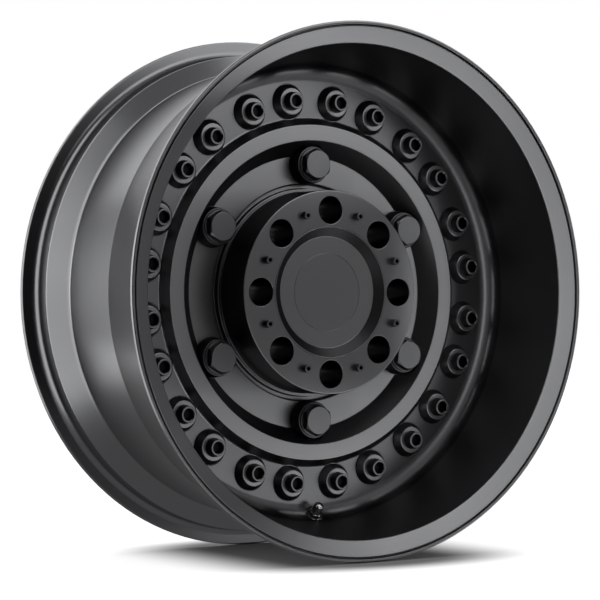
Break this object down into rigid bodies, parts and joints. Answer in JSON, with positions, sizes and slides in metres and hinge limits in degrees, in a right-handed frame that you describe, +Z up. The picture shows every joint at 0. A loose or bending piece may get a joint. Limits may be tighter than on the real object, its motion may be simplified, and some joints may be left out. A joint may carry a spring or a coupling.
{
  "type": "truck wheel",
  "caption": "Bare cast-alloy truck wheel with a deep dished lip, a raised ring, socket screws in conical washers, a hub tower with lug wells and a blank snap-in cap.",
  "frame": {"origin": "on the axle, half-way between the two flanges", "axes": "+Y along the axle towards the vehicle (the street face looks along -Y), +Z up, valve at the bottom"},
  "size_m": [0.5474, 0.2379, 0.5473],
  "materials": {
    "casting_satin_black": "satin black powder coat on cast aluminium",
    "washer_satin_black": "satin black powder coat on steel",
    "screw_satin_black": "satin black coating on steel",
    "cap_plastic": "satin black moulded plastic",
    "badge_plate": "black anodised plate, blank",
    "spring_wire": "plain spring steel",
    "valve_chrome": "chrome plate",
    "valve_brass": "plain brass",
    "valve_rubber": "black rubber"
  },
  "bodies": {
    "wheel": {"wheel_casting": "casting_satin_black", "rim_bolt_washers": "washer_satin_black", "rim_bolts": "screw_satin_black", "hub_bolt_washers": "washer_satin_black", "hub_bolts": "screw_satin_black", "face_screws": "screw_satin_black", "centre_cap": "cap_plastic", "cap_badge": "badge_plate", "cap_spring_ring": "spring_wire", "valve_stem": "valve_chrome", "valve_grommet": "valve_rubber", "valve_washer": "valve_chrome", "valve_nut": "valve_chrome", "valve_core": "valve_brass", "valve_cap": "valve_chrome", "valve_cap_seal": "valve_rubber"},
    "valve_pin": {"valve_core_pin": "valve_brass"}
  },
  "joints": [
    {"name": "valve_pin_press", "type": "slide", "parent": "wheel", "child": "valve_pin", "axis": [0, 0.7071, -0.7071], "range_m": [0, 0.0012], "stiffness_N_per_m": 2500}
  ]
}
